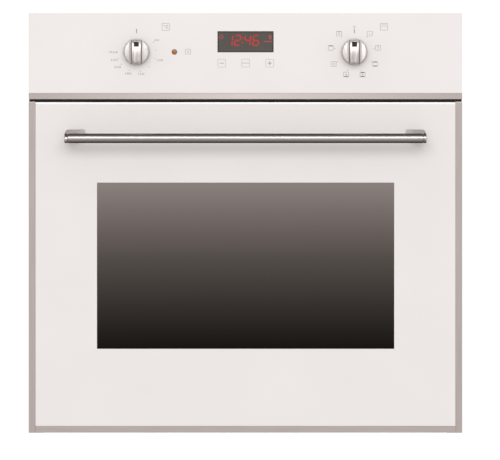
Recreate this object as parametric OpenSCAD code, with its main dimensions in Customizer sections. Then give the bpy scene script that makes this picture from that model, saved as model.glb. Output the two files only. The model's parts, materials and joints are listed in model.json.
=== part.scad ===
// Built-in electric wall oven, 60 cm class, in millimetres.
// X runs to the right, Y from the front to the back and Z upwards.
// The origin is the middle of the footprint, on the surface that the oven stands on.
// Sub-parts are drawn with y = 0 at the front of the glass, and from_face() moves them into the part's frame.

/* [Front] */
// Width across the door and the control panel
front_w = 595; // [592:1:598]
// Height of the door, the strip and the control panel together
front_h = 576; // [576:1:580]
// Height of the glass of the control panel
panel_h = 110; // [108:0.2:112]
// Height of the metal strip under the control panel
strip_h = 8.2; // [6:0.2:9]
// Air gap between the strip and the door
air_gap = 3.2; // [2:0.2:4]
// Gap between the foot of the door and the surface that the oven stands on
front_lift = 2; // [1:0.5:3]

/* [Door] */
// Thickness of the door
door_t = 24; // [24:0.5:26]
// Thickness of the outer and inner glass
glass_t = 4; // [3:0.5:4]
// Visible width of the metal trims
trim_w = 9.3; // [8:0.1:10]
// Width of the window
window_w = 408; // [380:1:410]
// Height of the window
window_h = 228; // [200:1:240]
// How far the door drops, in degrees
door_swing = 90; // [60:1:90]

/* [Handle] */
// Length of the handle, over its ends
handle_w = 495; // [440:1:500]
// Diameter of the handle tube
handle_d = 13; // [10:0.5:14]
// Distance from the glass to the middle of the tube
handle_reach = 38; // [34:1:42]
// Height of the tube above the foot of the door
handle_up = 403.8; // [395:0.2:410]

/* [Controls] */
// Diameter of the two knobs
knob_d = 36; // [34:0.2:40]
// How far the knobs stand out from the glass
knob_out = 22; // [18:1:26]
// Distance of each knob from the middle of the panel
knob_x = 149.5; // [140:0.5:160]
// Width of the display
display_w = 77; // [70:1:80]
// Height of the display
display_h = 29; // [24:1:30]

/* [Body] */
// Width of the casing, which goes into the cabinet
body_w = 556; // [554:1:560]
// Depth behind the plane where the frame meets the cabinet
body_d = 540; // [536:1:550]
// Height of the casing
body_h = 560; // [556:1:564]
// Inner width of the oven
cavity_w = 450; // [446:1:452]
// Inner height of the oven
cavity_h = 320; // [318:1:324]
// Inner depth of the oven
cavity_d = 400; // [396:1:404]

/* [Hidden] */
$fn = 48;

// Gaps and sheet thicknesses
seal_gap = 3;
sheet = 1.2;
thin = 1;
clear = 0.3;
running = 0.06;

// Depths, from the front of the glass
frame_y = door_t + seal_gap;
stop_y = frame_y + sheet;
wing_y = stop_y + 0.3;
back_y = stop_y + body_d;
rear_box = 22;
wall_y = back_y - rear_box;
cavity_back = stop_y + cavity_d;
handle_front = handle_reach + handle_d / 2;
face_y = handle_front - (handle_front + back_y) / 2;

// Heights, from the surface that the oven stands on
door_z0 = front_lift;
front_top = front_lift + front_h;
panel_z0 = front_top - panel_h;
strip_z0 = panel_z0 - strip_h;
door_z1 = strip_z0 - air_gap;
window_z = door_z0 + 229.3;
handle_z = door_z0 + handle_up;
foot_w = 27;
foot_h = 16.6;
foot_x = handle_w / 2 - 0.3 - foot_w / 2;
foot_z = handle_z + 4.8;
knob_z = front_top - 53.4;
display_z = front_top - 39.3;
key_z = front_top - 68.4;
base_z = 6;
floor_z = 84;
ceiling_z = floor_z + cavity_h;
frame_z0 = 25;
slot_z = door_z1 - 5;
duct_z0 = slot_z - 13;
duct_z1 = slot_z + 10;

// Controls
shaft_r = 3;
pilot_x = -97.5;
pilot_r = 3.8;
key_pitch = 33;
key_size = 12.2;
pointer = 6.4;
pointer_z = 7.2;
glass_drop = 1.4;
knob_gap = 1.5;
bar_w = 12.2;
groove_w = 1.5;
taper = 1.2;

// The door's hinge line, and the small crank on each arm that lifts the spring rod
hinge_y = 14;
hinge_z = 14;
arm_x = 261;
arm_t = 5;
boss_r = 7;
pin_r = 2.5;
crank = 5;
crank_pin_r = 1.25;
channel_w = 14;
channel_top = 232;
rod_r = 3;
coil_r = 4.2;
coil_wire = 0.7;
spring_z0 = 70;

// Wires and heating tubes
post_r = 2.5;
runner_r = 2;
loop_r = 3;
grid_r = 1.6;
heater_r = 3.25;
post_x = cavity_w / 2 - 6;
runner_x = post_x - post_r - runner_r + 0.5;
levels = [122, 176, 230, 284, 338];
guard_up = 14;
rack_x = post_x - post_r - loop_r - 0.5;
rack_y0 = stop_y + 8;
rack_depth = 354;

// Fan at the back of the oven, and the cooling blower over it
fan_z = floor_z + 160;
fan_r = 68;
ring_r = 88;
leg_r = 4;
leg_x = 18;
leg_z = fan_z - sqrt(ring_r * ring_r - leg_x * leg_x);
fan_shaft_r = 4;
blower_y = 330;
blower_r = 84;
impeller_r = 66;
lamp_x = 188;
lamp_z = ceiling_z - 34;

// Cabinet screws and the cable entry
screw_x = 287.5;
screw_r = 2.25;
screw_z = [125, 385];
gland_x = -200;
gland_r = 5;
gland_z = [448, 470];

// ---- shared shapes ----

// A box between two corners
module block(low, high) translate(low) cube(high - low);

// Moves a sub-part from the front of the glass into the part's frame
module from_face() translate([0, face_y, 0]) children();

// A shape and its mirror image across the middle of the oven
module both_sides() {
    children();
    mirror([1, 0, 0]) children();
}

// A rectangle with round corners, centred
module round_rect(w, h, r) {
    square([w - 2 * r, h], center = true);
    square([w, h - 2 * r], center = true);
    for (x = [-1, 1], z = [-1, 1])
        translate([x * (w / 2 - r), z * (h / 2 - r)]) circle(r);
}

// An outline drawn in x and z, given a thickness from y0 to y1
module upright(y0, y1) translate([0, y1, 0]) rotate([90, 0, 0]) linear_extrude(y1 - y0) children();

// A round bar along Y, and one along X
module bar_y(r, y0, y1) translate([0, y0, 0]) rotate([-90, 0, 0]) cylinder(r = r, h = y1 - y0);
module bar_x(r, x0, x1) translate([x0, 0, 0]) rotate([0, 90, 0]) cylinder(r = r, h = x1 - x0);

// A bend of round bar in the XY plane, starting on the +X side
module bend(radius, r, angle) rotate_extrude(angle = angle) translate([radius, 0]) circle(r);

// A closed loop of round bar, w by d, lying flat
module wire_loop(w, d, corner, r) {
    for (s = [-1, 1]) {
        translate([0, s * d / 2, 0]) bar_x(r, corner - w / 2, w / 2 - corner);
        translate([s * w / 2, 0, 0]) bar_y(r, corner - d / 2, d / 2 - corner);
    }
    for (k = [0:3])
        rotate([0, 0, 90 * k])
            translate([(k % 2 == 0 ? w : d) / 2 - corner, (k % 2 == 0 ? d : w) / 2 - corner, 0])
                bend(corner, r, 90);
}

// A heating tube that runs to and fro, with both ends going out at the back
module serpentine(runs, pitch, y0, y1, y_end) {
    for (i = [0:runs - 1])
        translate([(i - (runs - 1) / 2) * pitch, 0, 0])
            bar_y(heater_r, y0 + pitch / 2, i == 0 || i == runs - 1 ? y_end : y1 - pitch / 2);
    for (i = [0:runs - 2])
        translate([(i - (runs - 2) / 2) * pitch, i % 2 == 0 ? y0 + pitch / 2 : y1 - pitch / 2, 0])
            rotate([0, 0, i % 2 == 0 ? 180 : 0]) bend(pitch / 2, heater_r, 180);
}

// Upright slots in a row, as 2D openings
module slot_row(count, pitch, w, h)
    for (i = [0:count - 1])
        translate([(i - (count - 1) / 2) * pitch, 0]) round_rect(w, h, w / 2 - 0.01);

// ---- control panel ----

module panel_holes() {
    for (s = [-1, 1]) translate([s * knob_x, knob_z]) circle(5);
    translate([pilot_x, knob_z]) circle(pilot_r + 0.2);
}

module control_glass() color("whitesmoke") from_face() upright(0, glass_t) difference() {
    translate([-front_w / 2, panel_z0]) square([front_w, panel_h]);
    panel_holes();
}

// Folded strip that closes the panel's lower edge
module control_strip() color("silver") from_face() {
    block([-front_w / 2, 0, strip_z0], [front_w / 2, 1.5, panel_z0]);
    block([-front_w / 2, 1.5, strip_z0], [front_w / 2, frame_y, strip_z0 + 1.5]);
    block([-front_w / 2 + 3, frame_y - 1.5, strip_z0 + 1.5], [front_w / 2 - 3, frame_y, panel_z0]);
}

// Steel pan behind the glass that carries the controls
module control_chassis() color("darkgray") from_face() {
    half = front_w / 2 - 3;
    low = panel_z0;
    high = front_top - 3;
    upright(stop_y - sheet, stop_y) difference() {
        translate([-half, low]) square([2 * half, high - low]);
        for (s = [-1, 1]) translate([s * knob_x, knob_z]) circle(5);
        translate([pilot_x, knob_z]) circle(6.5);
        translate([-66, key_z - 18]) square([132, 72]);
    }
    difference() {
        block([-half, glass_t, low], [half, stop_y - sheet, high]);
        block([-half + sheet, glass_t - 1, low + sheet], [half - sheet, stop_y, high - sheet]);
    }
}

// Circuit board with the display and, under it, one sensing pad behind each key
module clock_module() color("darkgreen") from_face() {
    block([-58, glass_t + 6, key_z - 12], [58, glass_t + 7.6, display_z + 18]);
    block([-display_w / 2 - 2, glass_t, display_z - display_h / 2],
          [display_w / 2 + 2, glass_t + 6, display_z + display_h / 2 + 2]);
    for (i = [-1:1])
        translate([i * key_pitch, 0, key_z])
            upright(glass_t, glass_t + 6) round_rect(key_size - 3, key_size - 3, 1.5);
}

module timer_housing() color("dimgray") from_face() difference() {
    block([-60, glass_t + 7.6, key_z - 14], [60, stop_y + 24, display_z + 20]);
    block([-58, glass_t + 7, key_z - 12], [58, stop_y + 22, display_z + 18]);
}

// Lens and holder of the orange heating light
module pilot_lamp() color("orange") from_face() translate([pilot_x, 0, knob_z]) {
    bar_y(pilot_r, -0.6, glass_t);
    bar_y(6, glass_t, stop_y + 12);
}

// Round can and threaded bush of a rotary control
module control_can(radius, depth) {
    difference() {
        union() {
            bar_y(radius, stop_y, stop_y + depth);
            bar_y(4.7, glass_t + 2, stop_y);
        }
        bar_y(shaft_r + running, 0, stop_y + 9);
    }
}

module thermostat() color("lightgray") from_face() translate([-knob_x, 0, knob_z]) control_can(20, 26);

module function_switch() color("ivory") from_face() translate([knob_x, 0, knob_z]) {
    control_can(17, 20);
    for (a = [0:45:315])
        rotate([0, a, 0]) block([-3, stop_y + 6, 16], [3, stop_y + 7, 24]);
}

// D-shaped shaft that the knob pushes onto
module control_shaft() difference() {
    bar_y(shaft_r, 4 - knob_out, stop_y + 8);
    block([-shaft_r, 3 - knob_out, shaft_r - 1], [shaft_r, -knob_gap, shaft_r + 1]);
}

// Half of the knob's section, slightly tapered and with its front edge rounded
function knob_section(radius, depth, edge) = concat(
    [[0, 0], [radius, 0]],
    [for (a = [0:15:90]) [radius - taper - edge + edge * cos(a), depth - edge + edge * sin(a)]],
    [[0, depth]]
);

// Round knob with a standing grip bar between two grooves
module knob() {
    depth = knob_out - knob_gap;
    side_drop = 2.4;
    half_bar = bar_w / 2;
    difference() {
        translate([0, -knob_gap, 0]) rotate([90, 0, 0])
            rotate_extrude() polygon(knob_section(knob_d / 2, depth, 2.2));
        both_sides() {
            block([half_bar, -knob_out - 1, -knob_d], [knob_d, -knob_out + side_drop, knob_d]);
            block([half_bar, -knob_out - 1, -knob_d], [half_bar + groove_w, -knob_out + 6, knob_d]);
        }
        bar_y(shaft_r + 0.02, 4 - knob_out, 0);
        block([-pointer / 2, -knob_out - 1, pointer_z], [pointer / 2, -knob_out + 2, pointer_z + pointer]);
    }
}

module knob_pointer()
    block([-pointer / 2, -knob_out + 0.3, pointer_z], [pointer / 2, -knob_out + 2, pointer_z + pointer]);

module thermostat_knob() color("silver") from_face() translate([-knob_x, 0, knob_z]) knob();
module thermostat_pointer() color("black") from_face() translate([-knob_x, 0, knob_z]) knob_pointer();
module thermostat_shaft() color("gray") from_face() translate([-knob_x, 0, knob_z]) control_shaft();
module function_knob() color("silver") from_face() translate([knob_x, 0, knob_z]) knob();
module function_pointer() color("black") from_face() translate([knob_x, 0, knob_z]) knob_pointer();
module function_shaft() color("gray") from_face() translate([knob_x, 0, knob_z]) control_shaft();

// ---- frame and oven ----

// Pressed frame round the oven's mouth. Its wings stop against the cabinet and take the four screws
module front_frame() color("gray") from_face() {
    half = front_w / 2;
    high = panel_z0;
    difference() {
        union() {
            block([-half, frame_y, frame_z0], [half, stop_y, high]);
            both_sides() block([body_w / 2 + 1, frame_y, frame_z0], [half, wing_y, high]);
        }
        upright(frame_y - 1, wing_y + 1) {
            translate([0, floor_z + cavity_h / 2]) round_rect(cavity_w, cavity_h, 14);
            for (x = [-screw_x, screw_x], z = screw_z) translate([x, z]) circle(screw_r);
            translate([0, slot_z]) round_rect(444, 12, 5);
        }
    }
    block([-248, stop_y, frame_z0], [248, stop_y + 9, frame_z0 + sheet]);
}

// Soft seal round the oven's mouth, just short of the closed door
module door_seal() color("darkslategray") from_face() {
    grow = 16;
    difference() {
        upright(door_t + clear, frame_y) translate([0, floor_z + cavity_h / 2])
            round_rect(cavity_w + 2 * grow, cavity_h + 2 * grow, 20);
        upright(0, frame_y + 1) translate([0, floor_z + cavity_h / 2])
            round_rect(cavity_w + 2 * grow - 14, cavity_h + 2 * grow - 14, 13);
    }
}

// Enamelled box, open at the front, with openings for the fan, the heaters, the sensor and the lamp
module cavity_liner() color("dimgray") from_face() difference() {
    block([-cavity_w / 2 - sheet, stop_y, floor_z - sheet],
          [cavity_w / 2 + sheet, cavity_back + sheet, ceiling_z + sheet]);
    upright(stop_y - 1, cavity_back) translate([0, floor_z + cavity_h / 2]) round_rect(cavity_w, cavity_h, 14);
    back_wall_openings(cavity_back - 1, cavity_back + sheet + 1, 0.4);
}

// What passes through the oven's back wall, each hole wider than its piece by the same play
module back_wall_openings(y0, y1, play) {
    translate([0, 0, fan_z]) bar_y(fan_shaft_r + 2, y0, y1);
    for (x = [-150, 150]) translate([x, 0, ceiling_z - 18]) bar_y(heater_r + play, y0, y1);
    for (x = [-leg_x, leg_x]) translate([x, 0, leg_z]) bar_y(leg_r + play, y0, y1);
    translate([lamp_x, 0, lamp_z]) bar_y(19 + play, y0, y1);
    translate([-200, 0, ceiling_z - 14]) bar_y(3 + play, y0, y1);
}

// Mineral wool jacket over five sides of the oven, with room for the lower heater
module insulation() color("khaki") from_face() difference() {
    block([-249, stop_y + 10, 46], [249, cavity_back + 26, ceiling_z + 24]);
    block([-cavity_w / 2 - 2, stop_y, 66], [cavity_w / 2 + 2, cavity_back + 2, ceiling_z + 2]);
    back_wall_openings(cavity_back, cavity_back + 30, 1);
    for (x = [-90, 90]) translate([x, 0, 74]) bar_y(heater_r + 1, cavity_back, cavity_back + 30);
}

// Chromed wire ladder that carries the shelves, on the +X side
module side_rack() {
    y0 = stop_y + 32;
    y1 = cavity_back - 42;
    z0 = 98;
    z1 = 366;
    translate([post_x, (y0 + y1) / 2, (z0 + z1) / 2]) rotate([0, 90, 0])
        wire_loop(z1 - z0, y1 - y0, 12, post_r);
    for (z = levels, up = [0, guard_up])
        translate([runner_x, 0, z + up]) bar_y(runner_r, y0 - 12, y1 + 6);
    for (y = [y0 + 40, y1 - 40])
        translate([0, y, z1]) bar_x(3, post_x, cavity_w / 2);
}

module side_rack_right() color("silver") from_face() side_rack();
module side_rack_left() color("silver") from_face() mirror([1, 0, 0]) side_rack();

module grill_element() color("dimgray") from_face()
    translate([0, 0, ceiling_z - 18]) serpentine(6, 60, stop_y + 40, cavity_back - 70, cavity_back + 50);

module bottom_element() color("dimgray") from_face()
    translate([0, 0, 74]) serpentine(4, 60, stop_y + 60, cavity_back - 40, cavity_back + 50);

// Heater round the fan, its two ends going out through the back wall
module ring_element() color("dimgray") from_face() translate([0, cavity_back - 16, fan_z]) {
    gap = asin(leg_x / ring_r);
    rotate([90, 0, 0]) rotate([0, 0, gap - 90]) bend(ring_r, heater_r, 360 - 2 * gap);
    for (x = [-leg_x, leg_x]) translate([x, 0, leg_z - fan_z]) bar_y(leg_r, -leg_r, 66);
}

// Baffle in front of the fan: air goes in through the middle and comes out at the sides
module fan_cover() color("slategray") from_face() {
    half = 155;
    y = cavity_back - 32;
    low = fan_z - 130;
    high = fan_z + 130;
    upright(y, y + sheet) difference() {
        translate([0, (low + high) / 2]) round_rect(2 * half, high - low, 10);
        for (ring = [1:3], k = [0:8 * ring - 1])
            translate([0, fan_z]) rotate(k * 45 / ring) translate([ring * 17, 0]) circle(5.4);
        for (s = [-1, 1], k = [-4:4]) translate([s * 134, fan_z + k * 26]) round_rect(18, 10, 4.9);
    }
    for (s = [-1, 1]) translate([s * (half - 12), 0, 0]) {
        for (z = [low + 14, high - 14]) translate([0, 0, z]) bar_y(4, y + sheet, cavity_back);
    }
}

module fan_wheel() color("gainsboro") from_face() translate([0, 0, fan_z]) {
    y0 = cavity_back - 26;
    y1 = cavity_back - 5;
    bar_y(fan_shaft_r, y0, cavity_back + 76);
    bar_y(10, y0 - 1, y1);
    bar_y(fan_r, y1 - sheet, y1);
    for (a = [0:36:324])
        rotate([0, a, 0]) block([9, y0, -0.6], [fan_r - 2, y1, 0.6]);
}

// Motor of the oven fan, on its bracket behind the insulation
module fan_motor() color("silver") from_face() translate([0, 0, fan_z]) {
    y0 = cavity_back + 26;
    difference() {
        union() {
            block([-40, y0, -5], [40, y0 + 2, 40]);
            block([-40, y0 + 2, 30], [40, y0 + 22, 32]);
            block([-32, y0 + 6, -34], [32, y0 + 26, 26]);
            bar_y(13, y0, y0 + 40);
        }
        bar_y(fan_shaft_r + running, y0 - 1, y0 + 41);
    }
    block([-24, y0 + 3, -52], [24, y0 + 29, -34]);
}

// Glass dome over the oven lamp
module lamp_lens() color("azure") from_face() translate([lamp_x, cavity_back, lamp_z]) difference() {
    union() {
        bar_y(26, -4, 0);
        translate([0, -4, 0]) bar_y(22, -12, 0);
    }
    bar_y(19, -13, 1);
}

// Lamp holder with its bulb, behind the lens
module lamp_holder() color("wheat") from_face() translate([lamp_x, cavity_back, lamp_z]) {
    bar_y(18.5, 0, 44);
    bar_y(8, -3, 0);
    translate([0, -5, 0]) sphere(7);
}

// Sensor of the thermostat, and the capillary tube that goes up to the control
module thermostat_bulb() color("goldenrod") from_face() {
    tube = 1.2;
    z = ceiling_z - 14;
    back = cavity_back + 40;
    route = [[-200, cavity_back - 10, z], [-200, back, z], [-200, back, 500], [-knob_x, 120, 500],
             [-knob_x, 120, knob_z], [-knob_x, stop_y + 26, knob_z]];
    translate([-200, 0, z]) bar_y(3, cavity_back - 130, cavity_back - 8);
    for (i = [0:len(route) - 2]) wire(route[i], route[i + 1], tube);
    for (i = [1:len(route) - 2]) translate(route[i]) sphere(1.4 * tube);
}

// A straight round wire between two points
module wire(a, b, r) {
    d = b - a;
    translate(a) rotate([0, acos(d[2] / norm(d)), atan2(d[1], d[0])]) cylinder(r = r, h = norm(d));
}

// ---- cooling air ----

// Outline of the air duct, from the round blower to its mouth behind the slot in the frame
module duct_outline(wall, mouth) {
    half = 236 - wall;
    neck = blower_r - wall;
    translate([0, blower_y]) circle(neck);
    polygon([[-half, mouth], [half, mouth], [half, stop_y + 40], [neck, blower_y],
             [-neck, blower_y], [-half, stop_y + 40]]);
}

module air_duct() color("dimgray") from_face() difference() {
    translate([0, 0, duct_z0]) linear_extrude(duct_z1 - duct_z0) duct_outline(0, stop_y);
    translate([0, 0, duct_z0 + thin]) linear_extrude(duct_z1 - duct_z0 - 2 * thin)
        duct_outline(thin, stop_y - 1);
    translate([0, blower_y, duct_z1 - 2]) cylinder(r = 40, h = 4);
}

module cooling_impeller() color("lightgray") from_face() translate([0, blower_y, 0]) {
    z0 = duct_z0 + 3;
    z1 = duct_z1 - 3;
    translate([0, 0, z0]) cylinder(r = impeller_r, h = sheet);
    translate([0, 0, z0]) cylinder(r = 9, h = z1 - z0);
    translate([0, 0, z0]) cylinder(r = fan_shaft_r, h = 60);
    for (a = [0:22.5:337.5])
        rotate([0, 0, a]) translate([54, 0, 0]) rotate([0, 0, 35]) block([-12, -0.6, z0], [10, 0.6, z1]);
}

// Motor of the cooling blower, standing on the duct
module cooling_motor() color("silver") from_face() translate([0, blower_y, 0]) {
    z = duct_z1 + 12;
    difference() {
        union() {
            translate([0, 0, z]) cylinder(r = 30, h = 30);
            block([-56, -12, z - 2], [56, 12, z]);
        }
        translate([0, 0, z - 3]) cylinder(r = fan_shaft_r + running, h = 40);
    }
    both_sides() block([54, -12, duct_z1], [56, 12, z - 2]);
}

// ---- casing ----

// Floor sheet with a raised front lip, on two hollow rails
module base_panel() color("lightsteelblue") from_face() {
    front = stop_y + 5;
    block([-body_w / 2 + thin, front, base_z], [body_w / 2 - thin, wall_y, base_z + thin]);
    block([-arm_x + 5, front, base_z + thin], [arm_x - 5, front + thin, frame_z0]);
    both_sides() difference() {
        block([222, front, 0], [246, wall_y, base_z]);
        block([222 + sheet, front - 1, sheet], [246 - sheet, wall_y + 1, base_z]);
    }
}

// Side sheet with folded edges, air slots and a notch for the foot of the open door, on the +X side
module side_panel() {
    x = body_w / 2;
    block([x - 12, stop_y, body_h - thin], [x - thin, wall_y, body_h]);
    block([x - 12, wall_y - thin, base_z + thin], [x - thin, wall_y, body_h - thin]);
    difference() {
        block([x - thin, stop_y, base_z], [x, wall_y, body_h]);
        translate([x - thin, wall_y - 130, body_h - 50]) rotate([0, 0, 90]) upright(-2, 2) slot_row(9, 16, 4, 44);
        translate([x - thin, stop_y + 120, 60]) rotate([0, 0, 90]) upright(-2, 2) slot_row(6, 16, 4, 30);
        block([x - 2, stop_y - 1, 0], [x + 1, stop_y + 5, frame_z0]);
    }
}

module side_panel_right() color("lightsteelblue") from_face() side_panel();
module side_panel_left() color("lightsteelblue") from_face() mirror([1, 0, 0]) side_panel();

module top_cover() color("lightsteelblue") from_face() {
    difference() {
        block([-body_w / 2, stop_y, body_h], [body_w / 2, wall_y + thin, body_h + thin]);
        translate([0, wall_y - 60, body_h - 1]) linear_extrude(thin + 2) slot_row(16, 14, 5, 60);
    }
    block([-body_w / 2, stop_y, body_h + thin], [body_w / 2, stop_y + thin, body_h + 10]);
}

module back_panel() color("lightsteelblue") from_face() upright(wall_y, wall_y + thin) difference() {
    translate([-body_w / 2, base_z]) square([body_w, body_h - base_z]);
    translate([0, fan_z]) circle(60);
    translate([60, 505]) slot_row(12, 14, 5, 56);
    translate([gland_x, 505]) square([50, 40], center = true);
}

// Pressed cover over the fan motor, at the back
module rear_cover() color("lightsteelblue") from_face() {
    low = 110;
    high = 410;
    y = wall_y + thin;
    difference() {
        block([-150, y, low], [150, back_y, high]);
        block([-150 + thin, y - 1, low + thin], [150 - thin, back_y - thin, high - thin]);
        for (z = [fan_z - 90, fan_z, fan_z + 90])
            translate([0, 0, z]) upright(back_y - 3, back_y + 1) slot_row(15, 16, 5, 60);
    }
    both_sides() for (z = [low + 30, high - 50]) block([150, y, z], [164, y + thin, z + 20]);
}

module terminal_box() color("black") from_face() difference() {
    block([gland_x - 36, wall_y + thin, gland_z[1]], [gland_x + 36, back_y - 1, 540]);
    block([gland_x - 34, wall_y + thin + 2, gland_z[1] + 2], [gland_x + 34, back_y - 3, 538]);
    translate([gland_x, (wall_y + thin + back_y - 1) / 2, gland_z[1] - 1]) cylinder(r = gland_r + 1.5, h = 4);
}

// Cable entry under the terminal box, with its clamping nut
module cable_gland() color("black") from_face()
    translate([gland_x, (wall_y + thin + back_y - 1) / 2, gland_z[0]]) difference() {
        union() {
            cylinder(r = 8, h = gland_z[1] - gland_z[0]);
            translate([0, 0, 4]) cylinder(r = 9.6, h = 8, $fn = 6);
        }
        translate([0, 0, -1]) cylinder(r = gland_r, h = 40);
    }

// Pan-head screws in the back panel and the rear cover
module casing_screws() color("gainsboro") from_face() {
    for (x = [-262, 0, 262], z = [20, 552]) translate([x, wall_y + thin, z]) screw_head();
    for (x = [-157, 157], z = [150, 370]) translate([x, wall_y + 2 * thin, z]) screw_head();
}

module screw_head() difference() {
    bar_y(4, 0, 2.4);
    for (a = [0, 90]) rotate([0, a, 0]) block([-2.4, 1.2, -0.5], [2.4, 3, 0.5]);
}

// ---- door ----

module door_outer_glass() color("white") from_face() upright(0, glass_t) difference() {
    translate([-front_w / 2 + trim_w, door_z0 + trim_w])
        square([front_w - 2 * trim_w, door_z1 - door_z0 - trim_w - glass_drop]);
    for (s = [-1, 1]) translate([s * foot_x, foot_z]) circle(2.6);
}

module door_middle_glass() color("azure") from_face() block([-222, 10, 48], [222, 13, 437]);

module door_inner_glass() color("azure") from_face()
    block([-218, door_t - sheet - glass_t, 70], [218, door_t - sheet, 418]);

// Where each hinge arm leaves the door as it opens
module hinge_notches() both_sides() block([arm_x - 5, 6.5, 0], [arm_x + 5, door_t + 1, hinge_z + 9]);

// Pressed inner panel of the door, with the opening for the inner glass
module door_inner_frame() color("gray") from_face() difference() {
    union() {
        upright(door_t - sheet, door_t) difference() {
            translate([-front_w / 2 + trim_w, door_z0 + trim_w])
                square([front_w - 2 * trim_w, door_z1 - door_z0 - trim_w - 2]);
            translate([0, floor_z + cavity_h / 2]) round_rect(418, 330, 8);
        }
        both_sides() block([front_w / 2 - trim_w - sheet, glass_t, door_z0 + trim_w],
                           [front_w / 2 - trim_w, door_t - sheet, door_z1 - 2]);
        difference() {
            block([-front_w / 2 + trim_w + sheet, glass_t, door_z1 - 2 - sheet],
                  [front_w / 2 - trim_w - sheet, door_t - sheet, door_z1 - 2]);
            translate([0, 11, door_z1 - 6]) linear_extrude(8) for (i = [-13:13])
                translate([i * 18, 0]) square([12, 4]);
        }
    }
    hinge_notches();
}

// Section of the door's trim: a channel with its open side towards the door
module trim_section(w) difference() {
    square([w, door_t]);
    translate([-1, 1.5]) square([w - 0.5, door_t - 3]);
}

module door_side_trims() color("silver") from_face() both_sides()
    translate([front_w / 2 - trim_w, 0, door_z0]) linear_extrude(door_z1 - door_z0) trim_section(trim_w);

module door_bottom_trim() color("silver") from_face() difference() {
    translate([-front_w / 2 + trim_w, 0, door_z0 + trim_w]) rotate([0, 90, 0])
        linear_extrude(front_w - 2 * trim_w) trim_section(trim_w);
    hinge_notches();
}

// Silicone blocks that hold the panes apart
module glass_spacers() color("dimgray") from_face() both_sides() for (z = [72, 402]) {
    block([196, glass_t, z], [214, 10, z + 14]);
    block([196, 13, z], [214, door_t - sheet - glass_t, z + 14]);
}

module handle_tube() color("silver") from_face() translate([0, -handle_reach, handle_z]) difference() {
    bar_x(handle_d / 2, -handle_w / 2 + 4.5, handle_w / 2 - 4.5);
    bar_x(handle_d / 2 - 1.2, -handle_w / 2, handle_w / 2);
}

// Cast bracket on the +X side: a foot on the glass, an arm and the cap that closes the tube
module handle_bracket() {
    end = handle_w / 2;
    translate([0, -handle_reach, handle_z]) {
        bar_x(handle_d / 2, end - 4.5, end);
        bar_x(handle_d / 2 - 1.25, end - 16, end - 4.5);
    }
    difference() {
        hull() {
            translate([end - 4.5, -handle_reach, handle_z - 1]) cube([4.5, 4, 6.5]);
            translate([foot_x + 1, -14, foot_z]) upright(-1, 1) round_rect(foot_w - 6, foot_h - 2, 5);
            translate([foot_x, -1, foot_z]) upright(-1, 1) round_rect(foot_w, foot_h, 5);
        }
        translate([foot_x, 0, foot_z]) bar_y(2.03, -10, 1);
        translate([0, -handle_reach, handle_z]) bar_x(handle_d / 2 + 0.1, end - 40, end - 4.5);
    }
}

module handle_bracket_right() color("silver") from_face() handle_bracket();
module handle_bracket_left() color("silver") from_face() mirror([1, 0, 0]) handle_bracket();

// Screws that hold the handle, from inside the door
module handle_screws() color("gainsboro") from_face() both_sides()
    translate([foot_x, 0, foot_z]) {
        bar_y(2, -9, glass_t);
        bar_y(4.5, glass_t, glass_t + 3);
    }

// ---- hinge ----

// Places a shape on both sides at the hinge line
module at_hinges() both_sides() translate([arm_x, hinge_y, hinge_z]) children();

// Arm that stays in the oven's frame, with the crank pin that works the spring rod
module hinge_arms() color("darkgray") from_face() at_hinges() {
    difference() {
        union() {
            bar_x(boss_r, -arm_t / 2, arm_t / 2);
            block([-arm_t / 2, 0, -5], [arm_t / 2, 90, 5]);
            block([-arm_t / 2, 78, 5], [arm_t / 2, 90, 14]);
        }
        bar_x(pin_r + running, -arm_t, arm_t);
    }
    translate([0, -crank * cos(45), -crank * sin(45)]) bar_x(crank_pin_r, 0, channel_w / 2 - 1.7);
}

// Steel channel behind the frame that holds each arm
module hinge_receivers() color("gray") from_face() at_hinges() difference() {
    block([-arm_t / 2 - 1.7, stop_y - hinge_y, -6.8], [arm_t / 2 + 1.7, 100, 20]);
    block([-arm_t / 2 - 0.2, stop_y - hinge_y - 1, -5.2], [arm_t / 2 + 0.2, 101, 21]);
}

// Spring housing inside the door, open towards the oven
module hinge_channels() color("darkgray") from_face() at_hinges() {
    top = channel_top - hinge_z;
    difference() {
        block([-channel_w / 2, -9, -9], [channel_w / 2, 8, top]);
        block([-channel_w / 2 + 1.5, -8, -10], [channel_w / 2 - 1.5, 9, top - 4]);
        bar_x(pin_r + 0.02, -channel_w, channel_w);
        translate([0, 0, top - 6]) cylinder(r = rod_r + 0.4, h = 8);
    }
}

// Pivot pins, riveted into the channels
module hinge_pins() color("gainsboro") from_face() at_hinges() {
    bar_x(pin_r, -channel_w / 2, channel_w / 2);
    for (s = [-1, 1]) translate([s * (channel_w / 2 + 0.7), 0, 0]) bar_x(4, -0.7, 0.7);
}

// Rod that the crank pin lifts as the door drops, which presses the spring together
module hinge_rods() color("silver") from_face() at_hinges() {
    x0 = arm_t / 2 + 0.7;
    x1 = channel_w / 2 - 1.8;
    pin_z = -crank * sin(45);
    slot = crank_pin_r + 0.3;
    difference() {
        block([x0, -7.8, pin_z - slot - 2], [x1, -2.8, 30]);
        block([x0 - 1, -6.4, pin_z - slot], [x1 + 1, 0, pin_z + slot]);
    }
    block([-3.4, -7.8, 22], [x0, 3, 30]);
    translate([0, 0, 30]) cylinder(r = rod_r, h = channel_top - hinge_z - 26);
    translate([0, 0, spring_z0 - hinge_z - 4]) cylinder(r = coil_r + 1, h = 4);
}

// Points round a coil, and the tube of triangles that follows them
function coil_ring(turns, steps, sides, r, wire, h) = [
    for (i = [0:turns * steps]) let (a = 360 * i / steps, z = wire + i * (h - 2 * wire) / (turns * steps))
        for (k = [0:sides - 1]) let (b = 360 * k / sides)
            [(r + wire * cos(b)) * cos(a), (r + wire * cos(b)) * sin(a), z + wire * sin(b)]
];

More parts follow.
